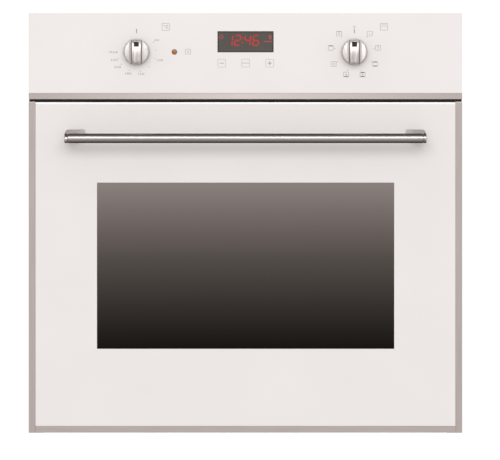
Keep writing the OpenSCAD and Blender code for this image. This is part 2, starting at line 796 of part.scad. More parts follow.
module coil(turns, steps, sides, r, wire, h) {
    rings = turns * steps;
    near = [for (i = [0:rings - 1], k = [0:sides - 1]) let (n = (k + 1) % sides)
        [i * sides + k, i * sides + n, (i + 1) * sides + n]];
    far = [for (i = [0:rings - 1], k = [0:sides - 1]) let (n = (k + 1) % sides)
        [i * sides + k, (i + 1) * sides + n, (i + 1) * sides + k]];
    first = [for (k = [0:sides - 1]) sides - 1 - k];
    last = [for (k = [0:sides - 1]) rings * sides + k];
    polyhedron(coil_ring(turns, steps, sides, r, wire, h), concat(near, far, [first, last]));
}

// Compression springs on the rods
module hinge_springs() color("gainsboro") from_face() at_hinges()
    translate([0, 0, spring_z0 - hinge_z])
        coil(9, 10, 5, coil_r, coil_wire, channel_top - 4 - spring_z0);

// ---- shelves ----

// Wire shelf on the fourth level
module wire_shelf() color("silver") from_face()
    translate([0, rack_y0 + rack_depth / 2, levels[3] + runner_r + clear + loop_r]) {
        wire_loop(2 * rack_x, rack_depth - 2 * loop_r, 14, loop_r);
        for (i = [-8:8])
            translate([i * 22.5, 0, 0.8]) bar_y(grid_r, 3 - rack_depth / 2, rack_depth / 2 - 3);
        for (y = [-110, 110]) translate([0, y, -1.6]) bar_x(grid_r + 0.4, 2 - rack_x, rack_x - 2);
    }

// Enamelled tray on the second level
module baking_tray() color("dimgray") from_face()
    translate([0, rack_y0 + rack_depth / 2, levels[1] + runner_r + clear]) {
        depth = 34;
        difference() {
            union() {
                linear_extrude(sheet) round_rect(2 * (runner_x + 0.8), rack_depth, 16);
                translate([0, 0, -depth]) linear_extrude(depth) round_rect(416, rack_depth - 20, 18);
            }
            translate([0, 0, sheet - depth]) linear_extrude(depth + 4)
                round_rect(416 - 2 * sheet, rack_depth - 20 - 2 * sheet, 18 - sheet);
        }
    }

control_glass();
control_strip();
control_chassis();
clock_module();
timer_housing();
pilot_lamp();
thermostat();
function_switch();
front_frame();
door_seal();
cavity_liner();
insulation();
side_rack_left();
side_rack_right();
grill_element();
bottom_element();
ring_element();
fan_cover();
fan_motor();
lamp_lens();
lamp_holder();
thermostat_bulb();
air_duct();
cooling_motor();
base_panel();
side_panel_left();
side_panel_right();
top_cover();
back_panel();
rear_cover();
terminal_box();
cable_gland();
hinge_arms();
hinge_receivers();
casing_screws();
door_outer_glass();
door_middle_glass();
door_inner_glass();
door_inner_frame();
door_side_trims();
door_bottom_trim();
glass_spacers();
handle_tube();
handle_bracket_left();
handle_bracket_right();
handle_screws();
hinge_channels();
hinge_pins();
hinge_springs();
hinge_rods();
thermostat_knob();
thermostat_pointer();
thermostat_shaft();
function_knob();
function_pointer();
function_shaft();
fan_wheel();
cooling_impeller();
wire_shelf();
baking_tray();
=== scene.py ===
import bpy
import bmesh
import json
import math
from mathutils import Matrix, Vector


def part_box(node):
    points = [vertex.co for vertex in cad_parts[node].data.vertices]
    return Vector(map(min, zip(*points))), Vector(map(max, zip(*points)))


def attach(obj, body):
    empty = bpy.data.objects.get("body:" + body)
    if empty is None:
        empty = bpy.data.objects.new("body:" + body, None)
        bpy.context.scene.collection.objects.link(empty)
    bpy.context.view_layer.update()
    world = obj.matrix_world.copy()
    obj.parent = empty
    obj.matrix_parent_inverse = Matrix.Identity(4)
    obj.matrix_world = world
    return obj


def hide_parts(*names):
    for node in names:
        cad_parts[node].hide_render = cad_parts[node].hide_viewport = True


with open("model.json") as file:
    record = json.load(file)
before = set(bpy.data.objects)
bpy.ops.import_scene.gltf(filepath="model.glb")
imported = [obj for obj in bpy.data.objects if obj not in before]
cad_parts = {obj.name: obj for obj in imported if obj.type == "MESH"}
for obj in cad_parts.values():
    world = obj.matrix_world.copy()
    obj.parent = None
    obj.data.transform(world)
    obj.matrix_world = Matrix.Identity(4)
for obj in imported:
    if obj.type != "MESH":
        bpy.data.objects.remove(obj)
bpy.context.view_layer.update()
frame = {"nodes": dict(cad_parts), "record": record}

MM = 0.001

# ---- the shop's measures, taken from the frame ----

panel_lo, panel_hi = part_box("control_glass")
door_lo, door_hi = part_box("door_outer_glass")
trims_lo, trims_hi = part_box("door_side_trims")
left_dial_lo, left_dial_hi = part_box("thermostat_knob")
right_dial_lo, right_dial_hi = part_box("function_knob")
tube_lo, tube_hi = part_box("handle_tube")
lamp_lo, lamp_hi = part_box("pilot_lamp")

FACE = panel_lo.y
DIAL_Z = (left_dial_lo.z + left_dial_hi.z) / 2
DIAL_X = (right_dial_lo.x + right_dial_hi.x) / 2
DIAL_R = (right_dial_hi.x - right_dial_lo.x) / 2
PILOT_X = (lamp_lo.x + lamp_hi.x) / 2
LENS_R = 3.4 * MM
# The display's and the window's left, right, lower and upper edges
DISPLAY = (-38.4 * MM, 38.7 * MM, panel_hi.z - 53.9 * MM, panel_hi.z - 24.8 * MM)
WINDOW = (-203.8 * MM, 204.2 * MM, trims_lo.z + 115.2 * MM, trims_lo.z + 343.4 * MM)
KEY_Z = panel_hi.z - 68.7 * MM


# ---- working at the bench: selecting, shaping and finishing ----

def put_down():
    """Leave edit mode with nothing selected."""
    if bpy.context.object and bpy.context.object.mode != "OBJECT":
        bpy.ops.object.mode_set(mode="OBJECT")
    bpy.ops.object.select_all(action="DESELECT")


def pick_up(*pieces):
    put_down()
    for piece in pieces:
        piece.select_set(True)
    bpy.context.view_layer.objects.active = pieces[0]
    return pieces[0]


def settle(piece):
    """Write the piece's place, turn and size into its mesh."""
    pick_up(piece)
    bpy.ops.object.transform_apply(location=True, rotation=True, scale=True)
    return piece


def block(name, lo, hi):
    put_down()
    middle = [(a + b) / 2 for a, b in zip(lo, hi)]
    bpy.ops.mesh.primitive_cube_add(size=1, location=middle, scale=[b - a for a, b in zip(lo, hi)])
    bpy.context.object.name = name
    return settle(bpy.context.object)


def disc(name, radius, middle, depth, axis="Y", sides=64):
    """A round blank from its front face backwards, along Y or Z."""
    put_down()
    shift = Vector((0, depth / 2, 0)) if axis == "Y" else Vector((0, 0, depth / 2))
    turn = (math.pi / 2, 0, 0) if axis == "Y" else (0, 0, 0)
    bpy.ops.mesh.primitive_cylinder_add(
        vertices=sides, radius=radius, depth=depth, location=Vector(middle) + shift, rotation=turn)
    bpy.context.object.name = name
    return settle(bpy.context.object)


class Shaping:
    """Edit mode on one piece, with parts picked by a test of their place and normal."""

    def __init__(self, piece):
        self.piece = piece

    def __enter__(self):
        pick_up(self.piece)
        bpy.ops.object.mode_set(mode="EDIT")
        bpy.ops.mesh.select_all(action="DESELECT")
        return self

    def __exit__(self, *_):
        bpy.ops.object.mode_set(mode="OBJECT")

    def everything(self):
        bpy.ops.mesh.select_mode(type="VERT")
        bpy.ops.mesh.select_all(action="SELECT")

    def faces(self, test):
        bpy.ops.mesh.select_mode(type="FACE")
        bpy.ops.mesh.select_all(action="DESELECT")
        mesh = bmesh.from_edit_mesh(self.piece.data)
        for face in mesh.faces:
            face.select_set(bool(test(face.calc_center_median(), face.normal)))
        bmesh.update_edit_mesh(self.piece.data)

    def edges(self, test):
        bpy.ops.mesh.select_mode(type="EDGE")
        bpy.ops.mesh.select_all(action="DESELECT")
        mesh = bmesh.from_edit_mesh(self.piece.data)
        for edge in mesh.edges:
            a, b = (v.co for v in edge.verts)
            edge.select_set(bool(test((a + b) / 2, (b - a).normalized())))
        bmesh.update_edit_mesh(self.piece.data)

    def cut(self, place, normal):
        """Scribe a line of edges across the whole piece."""
        self.everything()
        bpy.ops.mesh.bisect(plane_co=place, plane_no=normal)

    def paint(self, slot):
        """Give the picked faces one of the piece's finishes."""
        self.piece.active_material_index = slot
        bpy.ops.object.material_slot_assign()


# Faces that meet at more than this keep a crisp line between them
FLAT_ANGLE = 6


def near(a, b, play=0.02 * MM):
    return abs(a - b) < play


def soften(piece, width, segments=2, angle=30, smooth=None, flat=True):
    """Round the hard edges over and smooth the rest; flat keeps the shading of big faces flat."""
    pick_up(piece)
    bevel = piece.modifiers.new("edge", "BEVEL")
    bevel.width = width
    bevel.segments = segments
    bevel.limit_method = "ANGLE"
    bevel.angle_limit = math.radians(angle)
    bevel.harden_normals = False
    bpy.ops.object.modifier_apply(modifier="edge")
    bpy.ops.object.shade_smooth_by_angle(angle=math.radians(smooth or angle))
    if flat:
        flats = piece.modifiers.new("flats", "WEIGHTED_NORMAL")
        flats.keep_sharp = True
        flats.weight = 100
        bpy.ops.object.modifier_apply(modifier="flats")
    return piece


def drill(piece, cutters):
    """Take the cutters' shapes out of the piece."""
    for cutter in cutters:
        pick_up(piece)
        hole = piece.modifiers.new("hole", "BOOLEAN")
        hole.operation = "DIFFERENCE"
        hole.solver = "EXACT"
        hole.object = cutter
        bpy.ops.object.modifier_apply(modifier="hole")
        bpy.data.objects.remove(cutter)
    return piece


def keep_common(piece, other):
    """Keep only what the piece shares with the other one."""
    pick_up(piece)
    common = piece.modifiers.new("common", "BOOLEAN")
    common.operation = "INTERSECT"
    common.solver = "EXACT"
    common.object = other
    bpy.ops.object.modifier_apply(modifier="common")
    bpy.data.objects.remove(other)
    return piece


def join(pieces, name):
    pick_up(*pieces)
    if len(pieces) > 1:
        bpy.ops.object.join()
    bpy.context.object.name = name
    return bpy.context.object


def twin(piece, name, matrix):
    """A second piece with its own mesh, moved by the matrix; a mirrored one is turned right way out."""
    copy = piece.copy()
    copy.data = piece.data.copy()
    copy.name = name
    bpy.context.scene.collection.objects.link(copy)
    copy.data.transform(matrix)
    if matrix.determinant() < 0:
        with Shaping(copy) as work:
            work.everything()
            bpy.ops.mesh.normals_make_consistent(inside=False)
    return copy


def dress(piece, *finishes):
    piece.data.materials.clear()
    for finish in finishes:
        piece.data.materials.append(finish)
    return piece


def fit(piece, body, slot, *replaced):
    """Hang the finished piece on its body and hide the parts it replaces."""
    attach(piece, body)
    if replaced:
        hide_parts(*replaced)
    return piece


# ---- finishes ----

def linear(code, alpha=1.0):
    """An sRGB hex colour as the linear values that shaders take."""
    parts = [int(code[i:i + 2], 16) / 255 for i in (0, 2, 4)]
    return [c / 12.92 if c <= 0.04045 else ((c + 0.055) / 1.055) ** 2.4 for c in parts] + [alpha]


def add(tree, kind, settings=None, links=None):
    """Add one shader node with its settings and its links from other nodes."""
    made = tree.nodes.new(kind)
    for key, value in (settings or {}).items():
        if isinstance(key, str) and hasattr(made, key):
            setattr(made, key, value)
        else:
            made.inputs[key].default_value = value
    for key, (source, output) in (links or {}).items():
        tree.links.new(source.outputs[output], made.inputs[key])
    return made


def blank(name):
    """A new material with an empty bench: its tree, its shader and its object coordinates."""
    made = bpy.data.materials.new(name)
    made.use_nodes = True
    tree = made.node_tree
    tree.nodes.clear()
    shader = add(tree, "ShaderNodeBsdfPrincipled")
    add(tree, "ShaderNodeOutputMaterial", links={"Surface": (shader, "BSDF")})
    place = add(tree, "ShaderNodeTexCoord")
    return made, tree, shader, place


def surface(name, light, dark, rough, grain_mm, stretch=(1, 1, 1), detail=3, relief_mm=0.0, voronoi=False,
            **fixed):
    """A finish whose colour, roughness and relief all follow one pattern of a real size."""
    made, tree, shader, place = blank(name)
    for key, value in fixed.items():
        shader.inputs[key.replace("_", " ")].default_value = value
    spread = add(tree, "ShaderNodeMapping", {"Scale": stretch}, {"Vector": (place, "Object")})
    if voronoi:
        grain = add(tree, "ShaderNodeTexVoronoi", {"Scale": 1 / (grain_mm * MM)}, {"Vector": (spread, 0)})
        split = add(tree, "ShaderNodeSeparateColor", links={0: (grain, "Color")})
        source = (split, 0)
    else:
        grain = add(tree, "ShaderNodeTexNoise", {"Scale": 1 / (grain_mm * MM), "Detail": detail},
                    {"Vector": (spread, 0)})
        source = (grain, 0)
    tone = add(tree, "ShaderNodeValToRGB", links={0: source})
    tone.color_ramp.elements[0].position = 0.3
    tone.color_ramp.elements[0].color = linear(dark)
    tone.color_ramp.elements[1].position = 0.7
    tone.color_ramp.elements[1].color = linear(light)
    gloss = add(tree, "ShaderNodeMapRange", {"To Min": rough[0], "To Max": rough[1]}, {"Value": source})
    tree.links.new(tone.outputs[0], shader.inputs["Base Color"])
    tree.links.new(gloss.outputs[0], shader.inputs["Roughness"])
    if relief_mm:
        height = add(tree, "ShaderNodeBump", {"Strength": 0.6, "Distance": relief_mm * MM},
                     {"Height": source})
        tree.links.new(height.outputs[0], shader.inputs["Normal"])
    return made


# Float glass enamelled white on its back: a soft white under a clear gloss
opal_glass = surface("opal_back_painted_glass", "E8E3E2", "E6E1E0", (0.045, 0.075), 90, detail=2,
                     relief_mm=0.004, IOR=1.5, Specular_IOR_Level=0.42)

# The door's plate, enamelled white, a shade darker than the panel's glass
door_opal = surface("opal_door_glass", "E5E0DF", "E3DEDD", (0.045, 0.075), 90, detail=2,
                    relief_mm=0.004, IOR=1.5, Specular_IOR_Level=0.42)

# The ground and polished upper edge of the door's glass, with a painted highlight: brighter than its face
edge_painted_highlight = surface("glass_edge_painted_highlight", "F4EFED", "EFEAE8", (0.05, 0.09), 40, IOR=1.5,
                        Specular_IOR_Level=0.6)

# The same glass where the enamel is left out: dark tinted glass, with a painted reflection that is lightest
# at the top and fades to dark towards the bottom
window_glass, tree, shader, place = blank("window_glass_painted_reflection")
height = add(tree, "ShaderNodeSeparateXYZ", links={0: (place, "Object")})
drop = add(tree, "ShaderNodeMapRange", {"From Min": WINDOW[2], "From Max": WINDOW[3]},
           {"Value": (height, 2)})
streak = add(tree, "ShaderNodeTexNoise", {"Scale": 6.0, "Detail": 2}, {"Vector": (place, "Object")})
sway = add(tree, "ShaderNodeMath", {"operation": "MULTIPLY_ADD", 1: 0.012}, {0: (streak, 0), 2: (drop, 0)})
reflection_ramp = add(tree, "ShaderNodeValToRGB", links={0: (sway, 0)})
# stops of the painted reflection, from the bottom of the window (0) to its top (1)
PAINTED_REFLECTION_STOPS = ((0.0, "110D0B"), (0.11, "1F1B18"), (0.26, "302B28"), (0.40, "3F3A37"), (0.55, "4D4844"),
         (0.69, "605855"), (0.84, "716966"), (1.0, "847C79"))
while len(reflection_ramp.color_ramp.elements) < len(PAINTED_REFLECTION_STOPS):
    reflection_ramp.color_ramp.elements.new(0.5)
for stop, (position, code) in zip(reflection_ramp.color_ramp.elements, PAINTED_REFLECTION_STOPS):
    stop.position = position
    stop.color = linear(code)
tree.links.new(reflection_ramp.outputs[0], shader.inputs["Base Color"])
for key, value in (("Roughness", 0.04), ("IOR", 1.5), ("Specular IOR Level", 0.06)):
    shader.inputs[key].default_value = value

# Smoked acrylic over the clock: dark warm grey with a soft gloss
smoked_acrylic = surface("smoked_acrylic", "57514E", "524C49", (0.10, 0.16), 30, Specular_IOR_Level=0.3)
display_border = surface("black_masking_print", "423A37", "3C3532", (0.2, 0.3), 12, Specular_IOR_Level=0.3)

# Aluminium trim, satin anodised: fine lines along the extrusion
trim_across = surface("satin_anodised_trim", "B3A9A6", "A79D9A", (0.36, 0.48), 0.9,
                      stretch=(0.012, 1, 1), relief_mm=0.01, Metallic=0.4)
trim_upright = surface("satin_anodised_upright", "B0A6A3", "A49A97", (0.36, 0.48), 0.9,
                       stretch=(1, 1, 0.012), relief_mm=0.01, Metallic=0.4)

# The strip under the panel, brushed aluminium with fine lines, and a painted sheen: lighter in the middle
# and darker towards both ends
strip_painted_sheen, tree, shader, place = blank("brushed_strip_painted_sheen")
along = add(tree, "ShaderNodeMapping", {"Scale": (0.012, 1, 1)}, {"Vector": (place, "Object")})
lines = add(tree, "ShaderNodeTexNoise", {"Scale": 1100.0, "Detail": 3}, {"Vector": (along, 0)})
sides = add(tree, "ShaderNodeSeparateXYZ", links={0: (place, "Object")})
middle = add(tree, "ShaderNodeMath", {"operation": "ABSOLUTE"}, {0: (sides, 0)})
# the painted sheen fades with the distance from the middle
reach = add(tree, "ShaderNodeMapRange", {"From Max": trims_hi.x}, {"Value": (middle, 0)})
fall = add(tree, "ShaderNodeMath", {"operation": "MULTIPLY_ADD", 1: 0.12}, {0: (lines, 0), 2: (reach, 0)})
painted_sheen_ramp = add(tree, "ShaderNodeValToRGB", links={0: (fall, 0)})
painted_sheen_ramp.color_ramp.elements[0].position = 0.08
painted_sheen_ramp.color_ramp.elements[0].color = linear("C6BDBA")
painted_sheen_ramp.color_ramp.elements[1].color = linear("AAA09D")
tree.links.new(painted_sheen_ramp.outputs[0], shader.inputs["Base Color"])
rub = add(tree, "ShaderNodeMapRange", {"To Min": 0.36, "To Max": 0.48}, {"Value": (lines, 0)})
tree.links.new(rub.outputs[0], shader.inputs["Roughness"])
shader.inputs["Metallic"].default_value = 0.4

# Stainless tube, ground lengthwise: hard bands of light with a fine drawn grain
ground_tube = surface("ground_stainless_tube", "D6D0CE", "C2BBB8", (0.16, 0.22), 0.5, stretch=(0.002, 1, 1),
                      relief_mm=0.003, Metallic=1.0)

# Zinc casting under satin paint
cast_bracket = surface("satin_cast_bracket", "CCC3C0", "C2B9B6", (0.34, 0.44), 1.6, relief_mm=0.01,
                       Metallic=0.08)

# ABS dials in satin silver paint with a turned look: upright hairlines
satin_dial = surface("satin_silver_dial", "F2ECEA", "BDB5B2", (0.3, 0.4), 3.2, stretch=(1, 1, 0.02),
                     detail=1, Metallic=0.6)
dial_rim = surface("polished_dial_rim", "E6E0DD", "DAD4D1", (0.25, 0.33), 3, Metallic=0.1)
# the walls of the grooves: a darker grey, as painted shadow
dial_groove = surface("dial_groove_shadow", "A39B98", "9A928F", (0.4, 0.5), 2, Metallic=0.1)
gloss_black = surface("gloss_black_insert", "24211F", "1D1A18", (0.12, 0.2), 2, IOR=1.5)

# Screen print baked on the glass: a flat grey ink
grey_ink = surface("baked_grey_ink", "968E8B", "867E7B", (0.4, 0.55), 0.6)
pale_ink = surface("baked_pale_ink", "C4BCB9", "BAB2AF", (0.4, 0.55), 0.6)
dark_ink = surface("baked_dark_ink", "6B6361", "5C5452", (0.4, 0.55), 0.6)

# LED figures: red light with slightly hotter cores
led_red, tree, shader, place = blank("lit_red_figures")
cell = add(tree, "ShaderNodeTexNoise", {"Scale": 900.0}, {"Vector": (place, "Object")})
heat = add(tree, "ShaderNodeValToRGB", links={0: (cell, 0)})
heat.color_ramp.elements[0].color = linear("C4281C")
heat.color_ramp.elements[1].color = linear("DC3426")
tree.links.new(heat.outputs[0], shader.inputs["Emission Color"])
shader.inputs["Base Color"].default_value = linear("4A100C")
shader.inputs["Specular IOR Level"].default_value = 0.1
shader.inputs["Emission Strength"].default_value = 1.0
shader.inputs["Roughness"].default_value = 0.5

# The small signs beside the figures, driven at a lower current
dim_red = surface("dim_red_signs", "A83A30", "96322A", (0.4, 0.5), 2, Emission_Color=linear("A83A30"),
                  Emission_Strength=0.25)

# Moulded polycarbonate lens, amber with a darker mottle
amber_lens = surface("amber_polycarbonate", "B0702F", "87501C", (0.25, 0.4), 1.2, IOR=1.58)

# Vitreous enamel, charcoal with a fine fleck, as sprayed and fired on oven steel
FLECKED = dict(grain_mm=1.1, voronoi=True, Coat_Weight=0.3)
oven_enamel = surface("flecked_oven_enamel", "2A2A2D", "17171A", (0.16, 0.3), **FLECKED)
black_enamel = surface("black_vitreous_enamel", "161617", "101011", (0.2, 0.32), 8, Coat_Weight=0.2)

# Hot-dip zinc on sheet steel: crystals of slightly different greys
zinc_sheet = surface("spangled_zinc_sheet", "B4B7B9", "A8ACAE", (0.34, 0.46), 7, voronoi=True,
                     Metallic=0.85)

chrome_wire = surface("chromed_steel_wire", "D8D8D8", "C4C4C5", (0.08, 0.16), 4, Metallic=1.0)
heater_sheath = surface("oxidised_heater_sheath", "4A4440", "33302E", (0.4, 0.6), 3, relief_mm=0.02,
                        Metallic=0.7)
mineral_wool = surface("mineral_wool_jacket", "B9AC7C", "8F8358", (0.9, 1.0), 2.5, detail=8, relief_mm=0.8)
silicone = surface("black_silicone", "1E1E1F", "161617", (0.5, 0.7), 1.5, relief_mm=0.03)
lamination = surface("stacked_motor_steel", "8C8D90", "6A6B6E", (0.35, 0.5), 0.7, stretch=(0.05, 1, 0.05),
                     relief_mm=0.08, Metallic=0.9)
rolled_aluminium = surface("rolled_aluminium", "D0D1D3", "BFC0C2", (0.28, 0.4), 1.2, stretch=(1, 0.1, 1),
                           Metallic=1.0)
steatite = surface("steatite_ceramic", "E4DFD2", "D6D0C1", (0.5, 0.7), 2, relief_mm=0.02)
copper = surface("drawn_copper", "C98D68", "B1744F", (0.25, 0.4), 1, Metallic=1.0)
ivory_abs = surface("moulded_ivory_abs", "D3CEBC", "C8C2AE", (0.35, 0.5), 0.8, relief_mm=0.02)
black_abs = surface("moulded_black_abs", "232324", "1A1A1B", (0.4, 0.55), 0.8, relief_mm=0.02)
bright_steel = surface("bright_zinc_steel", "B4B5B8", "9C9DA0", (0.25, 0.4), 1.5, Metallic=1.0)
solder_board = surface("green_solder_resist", "1F5A36", "184A2B", (0.3, 0.45), 1.8, relief_mm=0.02)

# Clear toughened glass of the inner panes and the lamp lens
clear_glass, tree, shader, place = blank("clear_toughened_glass")
smear = add(tree, "ShaderNodeTexNoise", {"Scale": 14.0, "Detail": 3}, {"Vector": (place, "Object")})
polish = add(tree, "ShaderNodeMapRange", {"To Min": 0.02, "To Max": 0.07}, {"Value": (smear, 0)})
tree.links.new(polish.outputs[0], shader.inputs["Roughness"])
for key, value in (("Base Color", linear("DDE8E6")), ("Transmission Weight", 1.0), ("IOR", 1.5)):
    shader.inputs[key].default_value = value

FINISH_OF_SLOT = {
    "white_glass": opal_glass, "clear_glass": clear_glass, "satin_metal": trim_across,
    "handle_metal": ground_tube, "dial_plastic": satin_dial, "black_plastic": black_abs,
    "board": solder_board, "lamp_orange": amber_lens, "zinc_steel": zinc_sheet, "enamel": oven_enamel,
    "chrome_wire": chrome_wire, "heater_steel": heater_sheath, "wool": mineral_wool,
    "seal_rubber": silicone, "motor_steel": lamination, "fan_aluminium": rolled_aluminium,
    "ceramic_white": steatite, "copper_tube": copper, "switch_plastic": ivory_abs,
    "spring_steel": bright_steel,
}
for part in frame["record"]["subparts"]:
    node = frame["nodes"][part["node"]]
    dress(node, FINISH_OF_SLOT[part["material_slot"]])
    pick_up(node)
    bpy.ops.object.shade_smooth_by_angle(angle=math.radians(30))
dress(frame["nodes"]["front_frame"], black_enamel)


# ---- panes ----

def pane(name, lo, hi, area, enamel, inner):
    """A glass plate with one scribed area on its front that takes the second finish."""
    piece = dress(block(name, lo, hi), enamel, inner)
    left, right, low, high = area
    with Shaping(piece) as work:
        for place, normal in (((left, 0, 0), (1, 0, 0)), ((right, 0, 0), (1, 0, 0)),
                              ((0, 0, low), (0, 0, 1)), ((0, 0, high), (0, 0, 1))):
            work.cut(place, normal)
        work.faces(lambda c, n: n.y < -0.5 and left < c.x < right and low < c.z < high)
        work.paint(1)
    return piece


panel = pane("control_pane", panel_lo, panel_hi, DISPLAY, opal_glass, display_border)
MASK = 2.1 * MM
with Shaping(panel) as work:
    work.faces(lambda c, n: n.y < -0.5 and DISPLAY[0] < c.x < DISPLAY[1] and DISPLAY[2] < c.z < DISPLAY[3])
    bpy.ops.mesh.inset(thickness=MASK)
    panel.data.materials.append(smoked_acrylic)
    work.paint(2)
GLASS_T = panel_hi.y - panel_lo.y
SHAFT_HOLE_R = 5 * MM
through = GLASS_T + 2 * MM
holes = [disc("hole", radius, (x, FACE - MM, DIAL_Z), through, sides=32) for radius, x in (
    (SHAFT_HOLE_R, -DIAL_X), (SHAFT_HOLE_R, DIAL_X), (LENS_R + 0.15 * MM, PILOT_X))]
drill(panel, holes)
soften(panel, 0.7 * MM, 3, smooth=FLAT_ANGLE)
# the panes are left out of mirror images, so that the tube mirrors the room only
panel.visible_glossy = False
fit(panel, "oven", "white_glass", "control_glass")

# The door's upper edge is ground to a shallow slope of this height
GROUND = 2.0 * MM
door_pane = pane("door_pane", door_lo, door_hi, WINDOW, door_opal, window_glass)
with Shaping(door_pane) as work:
    work.edges(lambda c, d: abs(d.x) > 0.9 and near(c.z, door_hi.z) and near(c.y, door_lo.y))
    bpy.ops.mesh.bevel(offset=GROUND, segments=1, affect="EDGES")
    work.edges(lambda c, d: abs(d.x) > 0.9 and near(c.z, door_hi.z) and c.y < door_hi.y - MM)
    bpy.ops.transform.translate(value=(0, -0.8 * GROUND, 0))
    # the sloped upper edge takes the painted highlight
    work.faces(lambda c, n: n.y < -0.5 and c.z > door_hi.z - 0.95 * GROUND)
    door_pane.data.materials.append(edge_painted_highlight)
    work.paint(2)
    work.edges(lambda c, d: near(c.z, door_hi.z))
    bpy.ops.transform.translate(value=(0, 0, 0.5 * MM))
soften(door_pane, 0.35 * MM, 2, smooth=FLAT_ANGLE)
door_pane.visible_glossy = False
fit(door_pane, "door", "white_glass", "door_outer_glass")


# ---- trims ----

FOLD = 0.3 * MM


def strip(name, lo, hi):
    """One leg of the folded strip."""
    return soften(dress(block(name, lo, hi), strip_painted_sheen), FOLD, 2, smooth=FLAT_ANGLE)


strip_lo, strip_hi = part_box("control_strip")
SHEET = 1.5 * MM
front_strip = strip("control_strip_front", strip_lo, (strip_hi.x, strip_lo.y + SHEET, strip_hi.z))
under_strip = strip("control_strip_under", (strip_lo.x, strip_lo.y + SHEET, strip_lo.z),
                    (strip_hi.x, strip_hi.y, strip_lo.z + SHEET))
control_strip = join([front_strip, under_strip], "control_strip_folded")
fit(control_strip, "oven", "satin_metal", "control_strip")

TRIM = trims_hi.x - door_hi.x
WALL = 1.5 * MM
upright = dress(block("door_trim_right", (door_hi.x, trims_lo.y, trims_lo.z), trims_hi), trim_upright)
with Shaping(upright) as work:
    # hollow the bar out from the side that meets the glass
    work.faces(lambda c, n: n.x < -0.5)
    bpy.ops.mesh.inset(thickness=WALL)
    bpy.ops.mesh.extrude_region_move(TRANSFORM_OT_translate={"value": (TRIM - WALL, 0, 0)})
    # mitre the top end so that it catches the light
    work.edges(lambda c, d: abs(d.x) > 0.9 and near(c.z, trims_hi.z) and near(c.y, trims_lo.y))
    bpy.ops.mesh.bevel(offset=1.5 * MM, segments=1, affect="EDGES")
    work.edges(lambda c, d: abs(d.x) > 0.9 and near(c.z, trims_hi.z) and c.y < trims_lo.y + 3 * MM)
    bpy.ops.transform.translate(value=(0, -1.2 * MM, 0))
soften(upright, FOLD, 2, smooth=FLAT_ANGLE)
left_upright = twin(upright, "door_trim_left", Matrix.Scale(-1, 4, (1, 0, 0)))
fit(upright, "door", "satin_metal", "door_side_trims")
fit(left_upright, "door", "satin_metal")

foot_lo, foot_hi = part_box("door_bottom_trim")
foot = dress(block("door_trim_bottom", foot_lo, foot_hi), trim_across)
with Shaping(foot) as work:
    work.faces(lambda c, n: n.z > 0.5)
    bpy.ops.mesh.inset(thickness=WALL)
    bpy.ops.mesh.extrude_region_move(TRANSFORM_OT_translate={"value": (0, 0, WALL - TRIM)})
# slots for the two hinge arms
HINGE_X = 261 * MM
SLOT = 10.4 * MM
cutters = [block("slot", (x - SLOT / 2, foot_lo.y + 6.5 * MM, foot_lo.z - MM),
                 (x + SLOT / 2, foot_hi.y + MM, foot_hi.z + MM)) for x in (-HINGE_X, HINGE_X)]
drill(foot, cutters)
soften(foot, FOLD, 2, smooth=FLAT_ANGLE)
fit(foot, "door", "satin_metal", "door_bottom_trim")


# ---- handle ----

AXIS_Y = (tube_lo.y + tube_hi.y) / 2
AXIS_Z = (tube_lo.z + tube_hi.z) / 2
TUBE_R = (tube_hi.z - tube_lo.z) / 2
TUBE_WALL = 1.2 * MM
BORE_DEPTH = 14 * MM
put_down()
bpy.ops.mesh.primitive_cylinder_add(
    vertices=96, radius=TUBE_R, depth=tube_hi.x - tube_lo.x, location=(0, AXIS_Y, AXIS_Z),
    rotation=(0, math.pi / 2, 0))
tube = settle(bpy.context.object)
tube.name = "handle_bar"
with Shaping(tube) as work:
    for side in (-1, 1):
        work.faces(lambda c, n: n.x * side > 0.9)
        bpy.ops.mesh.inset(thickness=TUBE_WALL)
        bpy.ops.mesh.extrude_region_move(TRANSFORM_OT_translate={"value": (-side * BORE_DEPTH, 0, 0)})
soften(dress(tube, ground_tube), 0.5 * MM, 2)

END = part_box("handle_bracket_right")[1].x
FOOT_LO = Vector((END - 27.3 * MM, FACE - 2 * MM, AXIS_Z - 3.5 * MM))
FOOT_HI = Vector((END - 0.3 * MM, FACE, AXIS_Z + 12.4 * MM))

# the end cap that closes the tube, and the spigot inside it; a fine line stays open between them
SEAM = 0.3 * MM
SPIGOT = 9 * MM
put_down()
bpy.ops.mesh.primitive_cylinder_add(
    vertices=96, radius=TUBE_R, depth=END - tube_hi.x - SEAM,
    location=((END + tube_hi.x + SEAM) / 2, AXIS_Y, AXIS_Z), rotation=(0, math.pi / 2, 0))
cap = settle(bpy.context.object)
with Shaping(cap) as work:
    work.faces(lambda c, n: n.x < -0.9)
    bpy.ops.mesh.inset(thickness=TUBE_WALL + SEAM)
    bpy.ops.mesh.extrude_region_move(TRANSFORM_OT_translate={"value": (-SPIGOT, 0, 0)})
soften(dress(cap, ground_tube), 0.5 * MM, 2)

# the foot on the glass, drawn forward as an arm to the cap
arm = dress(block("arm", FOOT_LO, FOOT_HI), cast_bracket)
STEPS = 7
ARM_TIP = (END - 2.4 * MM, 0, AXIS_Z + 1.0 * MM)
FORWARD = -(FOOT_LO.y - AXIS_Y + TUBE_R * 0.2) / STEPS


def slimness(part):
    """Width and height left to the arm, part of the way from its foot to the cap."""
    return 1 - 0.83 * part ** 0.55, 1 - 0.52 * part


